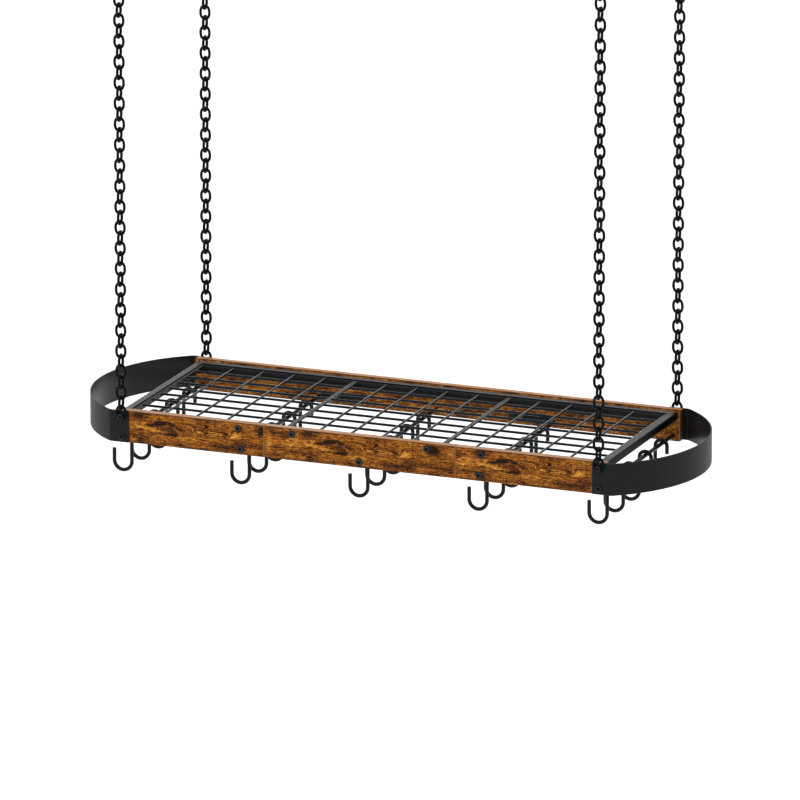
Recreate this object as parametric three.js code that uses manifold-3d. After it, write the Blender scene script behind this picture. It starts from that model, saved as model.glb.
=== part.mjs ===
// Hanging pot rack: two wooden rails joined by curved steel end bands, a welded wire
// shelf in three panels, five hook rods with S-hooks, and four chains from the ceiling.
// Millimetres, +Z up. X runs along the rack, Y from its front to its back.
// The origin is on the ceiling, midway between the four ceiling hooks.

import * as THREE from "three";
import { mergeVertices } from "three/addons/utils/BufferGeometryUtils.js";
import Module from "manifold-3d";

const wasm = await Module();
wasm.setup();

// ---- Driving sizes ----

// Gap between pieces that rest on each other
const seatGap = 0.3;

// Sides of the polygons that stand for round bars, hook wires and link wires
const roundSides = 8;
const hookSides = 4;
const linkSides = 6;

// Wooden rails, each made of three boards
const railLength = 800;
const railHeight = 50;
const boardThickness = 12.7;
const rackDepth = 328; // over the outer faces of both rails
const endBoardLength = 244;

// Steel end bands: a flat tab over each rail end, then an arc between them
const bandThickness = 2;
const bandHeight = 50;
const tabOverWood = 22;
const tabPastWood = 9;
const bandArcDepth = 85.8;
const bandArcSteps = 24;

// Wire shelf: square bars round three panels of welded wires
const shelfBar = 12.7;
const shelfTop = 46.8; // above the underside of the rails
const shelfEndInset = 4.3;
const wireDiameter = 3.2;
const weldDepth = 1; // how far crossing wires are pressed into each other
const barWeldDepth = 1; // how far wires and end bars run into the bars they meet
const crossWireDrop = 1.9; // axis of the top wires below the top of the bars
const panelCells = 5;
const lengthwiseCells = 8;

// Hook rods between the rails
const rodDiameter = 6.5;
const rodHeight = 9.1;
const rodEndInset = 11;
const rodCount = 5;

// S-hooks
const hookWire = 6;
const hookTopWidth = 19; // between wire axes
const hookBottomWidth = 29;
const hookHeight = 83.5;
const hookTopLeg = 24; // tip below the top of the hook
const hookBottomLeg = 36.5; // tip above the bottom of the hook
const hookInset = 58.5; // first hook from the front of the rack
const hookSpacing = 68.3;
const hooksPerRod = 4;

// Plates screwed across the board joints inside the rails
const plateReach = 35; // past the board joint, towards the rack's middle
const plateRodGap = 0.25; // from the nearest rod towards the rack's end
const plateHeight = 12.5;
const plateThickness = 1.5;
const plateCentre = 11;

// Bolts that carry the chains
const boltInset = 11;
const boltHeight = 41.5;
const boltShank = 4;
const boltReach = 8; // into the shelf's bar
const boltHead = 12;
const boltHeadHeight = 2.6;

// Chains
const linkWire = 4;
const linkInnerLength = 16.2;
const linkOuterWidth = 19;
const linksPerChain = 47;
const linkShoulder = 5; // height of the slope beside each crown

// Ceiling hooks
const ceilingPlateDiameter = 40;
const ceilingPlateThickness = 3;
const ceilingHookWire = 6;
const ceilingHookRadius = 9; // at the wire's axis
const ceilingHookStem = 9;
const screwHoleDiameter = 4.5;
const screwHoleSpacing = 27;

// ---- Worked-out sizes ----

const railInner = rackDepth / 2 - boardThickness;
const boltHole = boltShank + 2 * seatGap;
const linkInnerWidth = linkOuterWidth - 2 * linkWire;
const runLinks = linksPerChain - 2;
const boltX = railLength / 2 - boltInset;
const chainY = rackDepth / 2 + bandThickness + seatGap + linkWire / 2;
const jointX = railLength / 2 - endBoardLength;

// Heights above the underside of the rails, from the bolt up each chain
const bottomLinkSeat = boltHeight - sideReach(boltShank, roundSides) - seatGap;
const bottomLinkTop = bottomLinkSeat + linkInnerLength;
const runBottom = bottomLinkTop - seatGap;
const runTop = runBottom + runLinks * linkInnerLength;
const topLinkSeat = runTop - seatGap;
const ceilingHookSeat = topLinkSeat + linkInnerLength - seatGap;
const ceilingHookAxis = ceilingHookSeat - sideReach(ceilingHookWire, roundSides);
const ceilingHookCentre = ceilingHookAxis + ceilingHookRadius;
const ceilingHeight =
  ceilingHookCentre + ceilingHookRadius + ceilingHookStem + ceilingPlateThickness;

const corners = [
  { name: "front_left", side: -1, face: -1 },
  { name: "front_right", side: 1, face: -1 },
  { name: "back_left", side: -1, face: 1 },
  { name: "back_right", side: 1, face: 1 },
];

// ---- Materials ----

const wood = new THREE.MeshStandardMaterial({ color: 0x9a5f22, roughness: 0.55, metalness: 0 });
const blackSteel = new THREE.MeshStandardMaterial({ color: 0x2b2b2c, roughness: 0.5, metalness: 0.4 });
const blackWire = new THREE.MeshStandardMaterial({ color: 0x36373a, roughness: 0.45, metalness: 0.5 });
const darkBolt = new THREE.MeshStandardMaterial({ color: 0x1d2023, roughness: 0.4, metalness: 0.6 });

// ---- Helpers ----

const root = new THREE.Group();
const rack = new THREE.Group(); // z = 0 on the underside of the rails
rack.position.z = -ceilingHeight;
root.add(rack);

function add(name, geometry, material) {
  geometry.computeVertexNormals();
  const mesh = new THREE.Mesh(geometry, material);
  mesh.name = name;
  rack.add(mesh);
  return mesh;
}

function solidOf(geometry) {
  const bare = geometry.clone();
  bare.deleteAttribute("normal");
  bare.deleteAttribute("uv");
  const merged = mergeVertices(bare, 1e-4);
  return new wasm.Manifold(
    new wasm.Mesh({
      numProp: 3,
      vertProperties: new Float32Array(merged.attributes.position.array),
      triVerts: new Uint32Array(merged.index.array),
    }),
  );
}

function geometryOf(solid) {
  const { vertProperties, triVerts } = solid.getMesh();
  const geometry = new THREE.BufferGeometry();
  geometry.setAttribute("position", new THREE.BufferAttribute(vertProperties, 3));
  geometry.setIndex(new THREE.BufferAttribute(triVerts, 1));
  return geometry;
}

function joined(geometries) {
  return geometries.map(solidOf).reduce((whole, piece) => whole.add(piece));
}

// Box between two opposite corners
function box(x0, y0, z0, x1, y1, z1) {
  return new THREE.BoxGeometry(x1 - x0, y1 - y0, z1 - z0).translate(
    (x0 + x1) / 2,
    (y0 + y1) / 2,
    (z0 + z1) / 2,
  );
}

// Round bar or bore along Y between two depths
function barAlongY(diameter, x, z, y0, y1) {
  const reach = cornerReach(diameter, roundSides);
  return new THREE.CylinderGeometry(reach, reach, Math.abs(y1 - y0), roundSides)
    .rotateY(Math.PI / roundSides)
    .translate(x, (y0 + y1) / 2, z);
}

// Distance to the corners of a polygon with the area of a circle
function cornerReach(diameter, sides) {
  return (diameter / 2) * Math.sqrt((2 * Math.PI) / (sides * Math.sin((2 * Math.PI) / sides)));
}

// Distance to the sides of the same polygon
function sideReach(diameter, sides) {
  return cornerReach(diameter, sides) * Math.cos(Math.PI / sides);
}

// Round outline as a polygon of the same area, with a side facing +X and another facing -X
function roundOutline(diameter, sides, x = 0, y = 0) {
  const reach = cornerReach(diameter, sides);
  return Array.from({ length: sides }, (_, i) => {
    const angle = (2 * Math.PI * (i + 0.5)) / sides;
    return new THREE.Vector2(x + reach * Math.cos(angle), y + reach * Math.sin(angle));
  });
}

// Corners of a polygon that touches a true arc along its sides
function arcCorners(x, y, radius, from, to, count) {
  const step = (to - from) / count;
  return Array.from({ length: count }, (_, i) => {
    const angle = from + (i + 0.5) * step;
    const reach = radius / Math.cos(step / 2);
    return new THREE.Vector2(x + reach * Math.cos(angle), y + reach * Math.sin(angle));
  });
}

// Sweeps a section along a path in the XY plane, with mitred corners.
// The section's x is measured to the left of the path and its y along +Z.
// Spans listed as [span, side] are left open.
function sweep(path, section, closed = false, open = []) {
  const count = path.length;
  const left = (from, to) => {
    const along = to.clone().sub(from).normalize();
    return new THREE.Vector2(-along.y, along.x);
  };
  const positions = [];
  path.forEach((point, i) => {
    const before = path[(i + count - 1) % count];
    const after = path[(i + 1) % count];
    const first = !closed && i === 0;
    const last = !closed && i === count - 1;
    const leftIn = first ? left(point, after) : left(before, point);
    const leftOut = last ? leftIn : left(point, after);
    const mitre = leftIn.clone().add(leftOut).divideScalar(1 + leftIn.dot(leftOut));
    for (const offset of section) {
      positions.push(point.x + mitre.x * offset.x, point.y + mitre.y * offset.x, offset.y);
    }
  });
  const sides = section.length;
  const isOpen = (span, side) => open.some(([s, t]) => s === span && t === side);
  const triangles = [];
  const spans = closed ? count : count - 1;
  for (let span = 0; span < spans; span += 1) {
    const near = span * sides;
    const far = ((span + 1) % count) * sides;
    for (let side = 0; side < sides; side += 1) {
      if (isOpen(span, side)) continue;
      const next = (side + 1) % sides;
      triangles.push(near + side, near + next, far + next);
      triangles.push(near + side, far + next, far + side);
    }
  }
  if (!closed) {
    const lastRing = (count - 1) * sides;
    for (let side = 1; side < sides - 1; side += 1) {
      triangles.push(0, side + 1, side);
      triangles.push(lastRing, lastRing + side, lastRing + side + 1);
    }
  }
  const geometry = new THREE.BufferGeometry();
  geometry.setAttribute("position", new THREE.Float32BufferAttribute(positions, 3));
  geometry.setIndex(triangles);
  return geometry;
}

// ---- Wooden rails ----

// A board lying along X, with a hole for each bolt given as [x, z]
function board(x0, x1, face, holes) {
  const outline = new THREE.Shape([
    new THREE.Vector2(x0, 0),
    new THREE.Vector2(x1, 0),
    new THREE.Vector2(x1, railHeight),
    new THREE.Vector2(x0, railHeight),
  ]);
  outline.holes = holes.map(([x, z]) => new THREE.Path(roundOutline(boltHole, roundSides, x, z)));
  const geometry = new THREE.ExtrudeGeometry(outline, { depth: boardThickness, bevelEnabled: false });
  geometry.rotateX(Math.PI / 2);
  return geometry.translate(0, face > 0 ? rackDepth / 2 : -railInner, 0);
}

function addRail(label, face) {
  const end = railLength / 2;
  const joint = jointX - seatGap / 2;
  add(`rail_board_${label}_left`, board(-end, -joint - seatGap, face, [[-boltX, boltHeight]]), wood);
  add(`rail_board_${label}_middle`, board(-joint, joint, face, []), wood);
  add(`rail_board_${label}_right`, board(joint + seatGap, end, face, [[boltX, boltHeight]]), wood);
}

addRail("front", -1);
addRail("back", 1);

// ---- End bands ----

// Plan line of the left band, from its back tab round to its front one,
// at a distance inside the band's outer face
function bandLine(inside) {
  const tab = rackDepth / 2 + bandThickness;
  const radius = (tab ** 2 + bandArcDepth ** 2) / (2 * bandArcDepth);
  const centre = -railLength / 2 - tabPastWood - bandArcDepth + radius;
  const reach = Math.asin((tab - inside) / (radius - inside));
  const arc = Array.from({ length: bandArcSteps + 1 }, (_, i) => {
    const angle = Math.PI - reach * (1 - (2 * i) / bandArcSteps);
    return new THREE.Vector2(Math.cos(angle), Math.sin(angle))
      .multiplyScalar(radius - inside)
      .add(new THREE.Vector2(centre, 0));
  });
  const tabEnd = -railLength / 2 + tabOverWood;
  return [
    new THREE.Vector2(tabEnd, tab - inside),
    ...arc,
    new THREE.Vector2(tabEnd, inside - tab),
  ];
}

function addBand(label, side) {
  const outline = [...bandLine(0), ...bandLine(bandThickness - seatGap).reverse()];
  const geometry = new THREE.ExtrudeGeometry(new THREE.Shape(outline), {
    depth: bandHeight,
    bevelEnabled: false,
  });
  if (side > 0) geometry.rotateZ(Math.PI);
  const holes = barAlongY(boltHole, side * boltX, boltHeight, -rackDepth, rackDepth);
  add(`end_band_${label}`, geometryOf(solidOf(geometry).subtract(solidOf(holes))), blackSteel);
}

addBand("left", -1);
addBand("right", 1);

// ---- Wire shelf ----

const shelfEnd = railLength / 2 - shelfEndInset;
const barInner = railInner - seatGap - shelfBar;
const barBottom = shelfTop - shelfBar;
const borderWireX = shelfEnd - shelfBar - wireDiameter / 2;
const cellLength = (2 * borderWireX) / (3 * panelCells);
const cellWidth = (2 * (barInner - wireDiameter / 2)) / lengthwiseCells;
const panelJointX = (panelCells * cellLength) / 2;
const crossWireZ = shelfTop - crossWireDrop;
const lengthwiseWireZ = crossWireZ - wireDiameter + weldDepth;

// Straight wires of diamond section, whose edges meet where they cross
function wireX(x0, x1, y, z) {
  const shape = new THREE.Shape(diamond());
  const geometry = new THREE.ExtrudeGeometry(shape, { depth: x1 - x0, bevelEnabled: false });
  return geometry.rotateY(Math.PI / 2).translate(x0, y, z);
}

function wireY(y0, y1, x, z) {
  const shape = new THREE.Shape(diamond());
  const geometry = new THREE.ExtrudeGeometry(shape, { depth: y1 - y0, bevelEnabled: false });
  return geometry.rotateX(-Math.PI / 2).translate(x, y0, z);
}

function diamond() {
  const reach = wireDiameter / 2;
  return [
    new THREE.Vector2(reach, 0),
    new THREE.Vector2(0, reach),
    new THREE.Vector2(-reach, 0),
    new THREE.Vector2(0, -reach),
  ];
}

// A panel from x0 to x1. Its right side is a border wire, and so is its left one,
// unless that ends the shelf and has a square bar.
function panel(x0, x1, leftBar) {
  const pieces = [];
  for (const face of [-1, 1]) {
    const near = face * barInner;
    const far = face * (railInner - seatGap);
    pieces.push(box(x0, Math.min(near, far), barBottom, x1, Math.max(near, far), shelfTop));
  }
  const barDepth = barInner + barWeldDepth;
  if (leftBar) pieces.push(box(x0, -barDepth, barBottom, x0 + shelfBar, barDepth, shelfTop));
  const wireStart = leftBar ? x0 + shelfBar - barWeldDepth : x0;
  for (let row = 1; row < lengthwiseCells; row += 1) {
    const y = (row - lengthwiseCells / 2) * cellWidth;
    pieces.push(wireX(wireStart, x1, y, lengthwiseWireZ));
  }
  const edge = wireDiameter / 2;
  const start = leftBar ? x0 + shelfBar + edge : x0;
  const columns = [];
  for (let column = 1; column < panelCells; column += 1) {
    columns.push(start + column * cellLength);
  }
  if (!leftBar) columns.push(x0 + edge);
  columns.push(x1 - edge);
  for (const x of columns) pieces.push(wireY(-barDepth, barDepth, x, crossWireZ));
  let whole = joined(pieces);
  for (const corner of corners) {
    const x = corner.side * boltX;
    if (x < x0 || x > x1) continue;
    const boreEnd = corner.face * (railInner - boltReach - seatGap);
    const bore = barAlongY(boltHole, x, boltHeight, boreEnd, corner.face * rackDepth);
    whole = whole.subtract(solidOf(bore));
  }
  return geometryOf(whole);
}

const panelEnd = panelJointX + seatGap / 2;
const rightPanel = panel(-shelfEnd, -panelEnd, true).rotateZ(Math.PI);
add("shelf_panel_left", panel(-shelfEnd, -panelEnd, true), blackWire);
add("shelf_panel_middle", panel(seatGap - panelEnd, panelEnd - seatGap, false), blackWire);
add("shelf_panel_right", rightPanel, blackWire);

// ---- Hook rods and S-hooks ----

const rodX = Array.from({ length: rodCount }, (_, i) => {
  const reach = railLength / 2 - rodEndInset;
  return -reach + (2 * reach * i) / (rodCount - 1);
});

function hookGeometry() {
  const topRadius = hookTopWidth / 2;
  const bottomRadius = hookBottomWidth / 2;
  const rodSide = sideReach(rodDiameter, roundSides);
  const topAxis = rodSide + seatGap + sideReach(hookWire, hookSides); // above the rod's axis
  const topCentre = topAxis - topRadius;
  const top = topAxis + hookWire / 2;
  const bottom = top - hookHeight;
  const bottomCentre = bottom + hookWire / 2 + bottomRadius;
  const shank = -topRadius;
  const path = [
    new THREE.Vector2(topRadius, top - hookTopLeg),
    ...arcCorners(0, topCentre, topRadius, 0, Math.PI, 4),
    ...arcCorners(shank - bottomRadius, bottomCentre, bottomRadius, 0, -Math.PI, 4),
    new THREE.Vector2(shank - 2 * bottomRadius, bottom + hookBottomLeg),
  ];
  return sweep(path, roundOutline(hookWire, hookSides)).rotateX(Math.PI / 2);
}

rodX.forEach((x, rod) => {
  const reach = railInner - seatGap;
  add(`hook_rod_${rod + 1}`, barAlongY(rodDiameter, x, rodHeight, -reach, reach), blackSteel);
  for (let place = 0; place < hooksPerRod; place += 1) {
    const y = -rackDepth / 2 + hookInset + place * hookSpacing;
    const hook = hookGeometry().translate(x, y, rodHeight);
    add(`s_hook_${rod + 1}_${place + 1}`, hook, blackSteel);
  }
});

// ---- Joining plates ----

for (const corner of corners) {
  const start = corner.side * (rodX[rodCount - 2] - rodDiameter / 2 - plateRodGap);
  const end = corner.side * (jointX - plateReach);
  const inside = corner.face * (railInner - seatGap);
  const thick = corner.face * (railInner - seatGap - plateThickness);
  const plate = box(
    Math.min(start, end),
    Math.min(inside, thick),
    plateCentre - plateHeight / 2,
    Math.max(start, end),
    Math.max(inside, thick),
    plateCentre + plateHeight / 2,
  );
  add(`joining_plate_${corner.name}`, plate, blackSteel);
}

// ---- Chain bolts ----

function boltGeometry() {
  const underHead = rackDepth / 2 + bandThickness + linkWire + 2 * seatGap;
  const tip = railInner - boltReach;
  const shank = cornerReach(boltShank, roundSides);
  const profile = [
    new THREE.Vector2(0, tip),
    new THREE.Vector2(shank, tip),
    new THREE.Vector2(shank, underHead),
    new THREE.Vector2(boltHead / 2, underHead),
    new THREE.Vector2(boltHead / 2, underHead + boltHeadHeight / 2),
    new THREE.Vector2(boltHead / 3, underHead + boltHeadHeight),
    new THREE.Vector2(0, underHead + boltHeadHeight),
  ];
  return new THREE.LatheGeometry(profile, roundSides, Math.PI / roundSides);
}

for (const corner of corners) {
  const bolt = boltGeometry();
  if (corner.face < 0) bolt.rotateZ(Math.PI);
  bolt.translate(corner.side * boltX, 0, boltHeight);
  add(`chain_bolt_${corner.name}`, bolt, darkBolt);
}

// ---- Chains ----

// A single link standing in the XZ plane, its lower seat at z = 0
function looseLink() {
  const radius = (linkInnerWidth + linkWire) / 2;
  const half = linkInnerLength / 2 + sideReach(linkWire, linkSides) - radius;
  const path = [
    ...arcCorners(0, half, radius, 0, Math.PI, 4),
    ...arcCorners(0, -half, radius, Math.PI, 2 * Math.PI, 4),
  ];
  const geometry = sweep(path, roundOutline(linkWire, linkSides), true).rotateX(Math.PI / 2);
  return geometry.translate(0, 0, linkInnerLength / 2);
}

// A link of the run; each crown is as wide as the wire, so that it seats squarely in the
// next link. A crown that a next link is joined to is left open.
function runLink(lowerOpen, upperOpen) {
  const crown = linkWire / 2;
  const width = linkInnerWidth / 2;
  const length = linkInnerLength / 2;
  const shoulder = length - linkShoulder;
  const path = [
    new THREE.Vector2(-crown, -length),
    new THREE.Vector2(crown, -length),
    new THREE.Vector2(width, -shoulder),
    new THREE.Vector2(width, shoulder),
    new THREE.Vector2(crown, length),
    new THREE.Vector2(-crown, length),
    new THREE.Vector2(-width, shoulder),
    new THREE.Vector2(-width, -shoulder),
  ];
  const section = [
    new THREE.Vector2(0, -linkWire / 2),
    new THREE.Vector2(0, linkWire / 2),
    new THREE.Vector2(-linkWire, 0),
  ];
  const open = [];
  if (lowerOpen) open.push([0, 0]);
  if (upperOpen) open.push([path.length / 2, 0]);
  return sweep(path, section, true, open).rotateX(Math.PI / 2);
}

// The links between the top and bottom ones, each turned a quarter from the last
// and joined to it where they seat
function runGeometry() {
  const positions = [];
  for (let i = 0; i < runLinks; i += 1) {
    const link = runLink(i > 0, i < runLinks - 1);
    if (i % 2 === 0) link.rotateZ(Math.PI / 2);
    link.translate(0, 0, (i + 0.5) * linkInnerLength);
    positions.push(...link.toNonIndexed().attributes.position.array);
  }
  const geometry = new THREE.BufferGeometry();
  geometry.setAttribute("position", new THREE.Float32BufferAttribute(positions, 3));
  return mergeVertices(geometry, 1e-3);
}

for (const corner of corners) {
  const x = corner.side * boltX;
  const y = corner.face * chainY;
  add(`bottom_link_${corner.name}`, looseLink().translate(x, y, bottomLinkSeat), darkBolt);
  add(`chain_${corner.name}`, runGeometry().translate(x, y, runBottom), darkBolt);
  add(`top_link_${corner.name}`, looseLink().translate(x, y, topLinkSeat), darkBolt);
}

// ---- Ceiling hooks ----

function ceilingHookGeometry() {
  const plateShape = new THREE.Shape(roundOutline(ceilingPlateDiameter, 16));
  plateShape.holes = [-1, 1].map((side) => {
    const x = (side * screwHoleSpacing) / 2;
    return new THREE.Path(roundOutline(screwHoleDiameter, 6, x, 0));
  });
  const plate = new THREE.ExtrudeGeometry(plateShape, {
    depth: ceilingPlateThickness,
    bevelEnabled: false,
  }).translate(0, 0, ceilingHeight - ceilingPlateThickness);
  const stemTop = ceilingHeight - ceilingPlateThickness / 2;
  const r = ceilingHookRadius;
  const path = [
    new THREE.Vector2(0, stemTop),
    new THREE.Vector2(0, ceilingHookCentre + r + ceilingHookStem / 2),
    new THREE.Vector2(r * 0.75, ceilingHookCentre + r * 0.95),
    ...arcCorners(0, ceilingHookCentre, r, Math.PI / 6, (-7 * Math.PI) / 6, 6),
  ];
  const hook = sweep(path, roundOutline(ceilingHookWire, roundSides));
  hook.rotateX(Math.PI / 2).rotateZ(Math.PI / 2);
  return geometryOf(solidOf(plate).add(solidOf(hook)));
}

for (const corner of corners) {
  const hook = ceilingHookGeometry();
  if (corner.face > 0) hook.rotateZ(Math.PI);
  hook.translate(corner.side * boltX, corner.face * chainY, 0);
  add(`ceiling_hook_${corner.name}`, hook, blackSteel);
}

export default root;
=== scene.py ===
import math

import bmesh
import bpy
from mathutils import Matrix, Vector


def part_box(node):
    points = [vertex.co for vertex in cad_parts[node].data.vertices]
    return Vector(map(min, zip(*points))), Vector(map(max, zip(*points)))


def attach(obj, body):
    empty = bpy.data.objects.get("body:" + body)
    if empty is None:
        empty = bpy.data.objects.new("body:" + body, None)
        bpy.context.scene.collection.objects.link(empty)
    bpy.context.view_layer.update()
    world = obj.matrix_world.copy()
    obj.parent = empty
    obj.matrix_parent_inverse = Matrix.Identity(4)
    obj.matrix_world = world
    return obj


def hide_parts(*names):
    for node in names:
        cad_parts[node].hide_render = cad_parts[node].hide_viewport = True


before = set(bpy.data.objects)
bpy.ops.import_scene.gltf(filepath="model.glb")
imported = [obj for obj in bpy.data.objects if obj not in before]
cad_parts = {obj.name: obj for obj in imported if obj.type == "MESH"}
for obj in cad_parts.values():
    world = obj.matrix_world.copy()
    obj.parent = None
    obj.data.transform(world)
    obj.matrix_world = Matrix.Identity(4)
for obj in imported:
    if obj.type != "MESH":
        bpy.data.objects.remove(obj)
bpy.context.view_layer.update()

# ---- Sizes, in mm. x and y are from the middle of the rack, z from the underside of its rails ----

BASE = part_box("rail_board_front_middle")[0][2] * 1000  # underside of the rails in the part's frame

RAIL_LENGTH, RAIL_HEIGHT, BOARD = 800, 50, 12.7
DEPTH = 328  # over the outer faces of both rails
END_BOARD, BOARD_BEVEL = 244, 0.9
GAP = 0.3  # between pieces that only touch
SLIVER = 0.05  # keeps a piece just inside the solid that it replaces
RAIL_INNER = DEPTH / 2 - BOARD

# The bands' thickness, their tabs' reach over a rail's end and past it to the bend, and the arc's depth
BAND, TAB_OVER, TAB_PAST, ARC_DEPTH = 2, 22, 9, 85.8
BEND_REACH = 1.5  # from the bend's corner back along the tab

BAR, BAR_CHAMFER, SHELF_TOP, SHELF_INSET = 12.7, 1.2, 46.8, 4.3
LONG_WIRE, CROSS_WIRE = 4.0, 3.8  # a little thicker than the solids', to look as thick as the photograph's
CROSS_DROP, LONG_DROP = 3.2, 3.7  # from the shelf's top to the wires' axes, so that they are welded deep
WIRE_ROW = 34.2  # between lengthwise wires
HALF_PANEL_GAP = 0.1  # from a joint between two panels to each of them
ROD, ROD_Z = 6.5, 9.1
PLATE_REACH, PLATE_HEIGHT, PLATE, PLATE_Z = 35, 12.5, 1.5, 11
PLATE_SCREW_X, PLATE_SCREW_HEAD, PLATE_SCREW_HEIGHT = 25, 7.5, 1.6  # from the board joint, and the head
HOOK_WIRE, HOOK_TOP_R, HOOK_BOTTOM_R = 6, 9.5, 14.5
HOOK_HEIGHT, HOOK_TOP_LEG, HOOK_BOTTOM_LEG = 83.5, 24, 36.5
HOOK_Y = [58.5 + 68.3 * i - DEPTH / 2 for i in range(4)]
ROD_X = [-389 + 194.5 * i for i in range(5)]

SCREW_HEAD, SCREW_HEAD_HEIGHT, SCREW_Z = 11.4, 2.6, 41.5
UPPER_SCREW_X = [-198, -110, 110, 198]
LOWER_SCREW_X = [-194.5, 0, 194.5]
BOLT_X, BOLT_Z, BOLT, BOLT_HEAD, BOLT_REACH = RAIL_LENGTH / 2 - 11, 41.5, 4, 10, 8
LINK_WIRE, LINK_INNER, LINK_WIDTH, LINKS = 4.4, 16.2, 19, 47
LINK = 4  # the solids' link wire, which the seats are made for
CHAIN_Y = DEPTH / 2 + BAND + GAP + LINK / 2
CEILING_WIRE, CEILING_HOOK_R, CEILING_SCREW_X = 6, 9, 13.5
FLOOR_DROP, FLOOR_REACH = 950, 60000  # below the rails, and to each side
FLAT = 0.99  # a face with this much of its normal along an axis lies square to it
FACES = (("front", -1), ("back", 1))
CORNERS = [
    ("front_left", -1, -1),
    ("front_right", 1, -1),
    ("back_left", -1, 1),
    ("back_right", 1, 1),
]


def place(x, y, z):
    """Turns a place in mm into a point of the part's frame in metres."""
    return Vector((x, y, z + BASE)) * 0.001


# ---- Forms ----


class Form:
    """Collects vertices and faces in mm, then becomes one object."""

    def __init__(self):
        self.verts = []
        self.faces = []
        self.tags = []

    def loft(self, rings, closed=False, tag=0):
        """Skins a row of rings; tag is the number of the faces' material."""
        start, count, sides = len(self.verts), len(rings), len(rings[0])
        for ring in rings:
            self.verts.extend(ring)
        for i in range(count if closed else count - 1):
            near, far = start + i * sides, start + ((i + 1) % count) * sides
            for j in range(sides):
                k = (j + 1) % sides
                self.faces.append((near + j, near + k, far + k, far + j))
                self.tags.append(tag)
        if not closed:
            last = start + (count - 1) * sides
            self.faces.append(tuple(reversed(range(start, start + sides))))
            self.faces.append(tuple(range(last, last + sides)))
            self.tags.extend((tag, tag))
        return self

    def tube(self, path, radius, up, sides=12, closed=False, chamfer=0.0, tag=0):
        """A round wire along a path in one plane; up is the plane's normal."""
        rings = []
        points = [Vector(p) for p in path]
        count = len(points)
        up = Vector(up).normalized()
        for i, p in enumerate(points):
            before = points[(i - 1) % count] if closed or i else p
            after = points[(i + 1) % count] if closed or i < count - 1 else p
            along = (after - before).normalized()
            side = along.cross(up)
            rings.append((p, along, side, radius))
        if chamfer and not closed:
            p, along, side, r = rings[0]
            rings[0] = (p + along * chamfer, along, side, r)
            rings.insert(0, (p, along, side, r - chamfer))
            p, along, side, r = rings[-1]
            rings[-1] = (p - along * chamfer, along, side, r)
            rings.append((p, along, side, r - chamfer))
        made = []
        for p, _, side, r in rings:
            ring = []
            for j in range(sides):
                a = 2 * math.pi * (j + 0.5) / sides
                ring.append(p + (side * math.cos(a) - up * math.sin(a)) * r)
            made.append(ring)
        return self.loft(made, closed, tag=tag)

    def strip(self, path, section, tag=0):
        """Sweeps a section along a path in plan, with mitred corners.
        The section's first number is across the path, to its left, and its second is height."""
        rings = []
        for i, p in enumerate(path):
            into = (p - path[i - 1]).normalized() if i else (path[1] - p).normalized()
            out = (path[i + 1] - p).normalized() if i < len(path) - 1 else into
            a, b = Vector((-into.y, into.x)), Vector((-out.y, out.x))
            mitre = (a + b) / (1 + a.dot(b))
            rings.append([Vector((p.x + mitre.x * s, p.y + mitre.y * s, z)) for s, z in section])
        return self.loft(rings, tag=tag)

    def turned(self, profile, at, axis, sides=32, hexagonal=(), tag=0):
        """Revolves (radius, height) pairs about an axis through a point.
        The rings whose numbers are in hexagonal are six-sided."""
        axis = Vector(axis).normalized()
        u = axis.orthogonal().normalized()
        v = axis.cross(u)
        rings = []
        for n, (r, h) in enumerate(profile):
            ring = []
            for j in range(sides):
                a = 2 * math.pi * j / sides
                reach = r
                if n in hexagonal:
                    reach = r * math.cos(math.pi / 6) / math.cos((a % (math.pi / 3)) - math.pi / 6)
                ring.append(Vector(at) + axis * h + (u * math.cos(a) + v * math.sin(a)) * reach)
            rings.append(ring)
        return self.loft(rings, tag=tag)

    def piece(self, name, body, slot, materials, nodes=(), smooth=35):
        """Makes the object, in metres; edges sharper than smooth degrees stay crisp."""
        mesh = bpy.data.meshes.new(name)
        mesh.from_pydata([place(*v) for v in self.verts], [], self.faces)
        for material in materials:
            mesh.materials.append(material)
        for polygon, tag in zip(mesh.polygons, self.tags):
            polygon.material_index = tag
            polygon.use_smooth = True
        obj = bpy.data.objects.new(name, mesh)
        bpy.context.scene.collection.objects.link(obj)
        mesh.set_sharp_from_angle(angle=math.radians(smooth))
        if nodes:
            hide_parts(*nodes)
        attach(obj, body)
        return obj


def arc(centre, radius, start, end, count):
    """Points (a, b) on an arc, angles in degrees."""
    made = []
    for i in range(count + 1):
        a = math.radians(start + (end - start) * i / count)
        made.append((centre[0] + radius * math.cos(a), centre[1] + radius * math.sin(a)))
    return made


def rounded_rect(x0, z0, x1, z1, r, steps):
    """A rectangle with rounded corners, or chamfered ones where steps is 1."""
    made = []
    corners = ((x1 - r, z1 - r), (x0 + r, z1 - r), (x0 + r, z0 + r), (x1 - r, z0 + r))
    for i, corner in enumerate(corners):
        made += arc(corner, r, 90 * i, 90 * i + 90, steps)
    return made


# ---- Materials ----


MARK_DEPTH = 9  # how far into a board a mark of its print reaches
MARK_SHADE = 0.36  # how far a mark of strength 1 moves the tone
PLAIN_TONE = 0.438  # what the streaks alone give where their noise is at its middle


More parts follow.
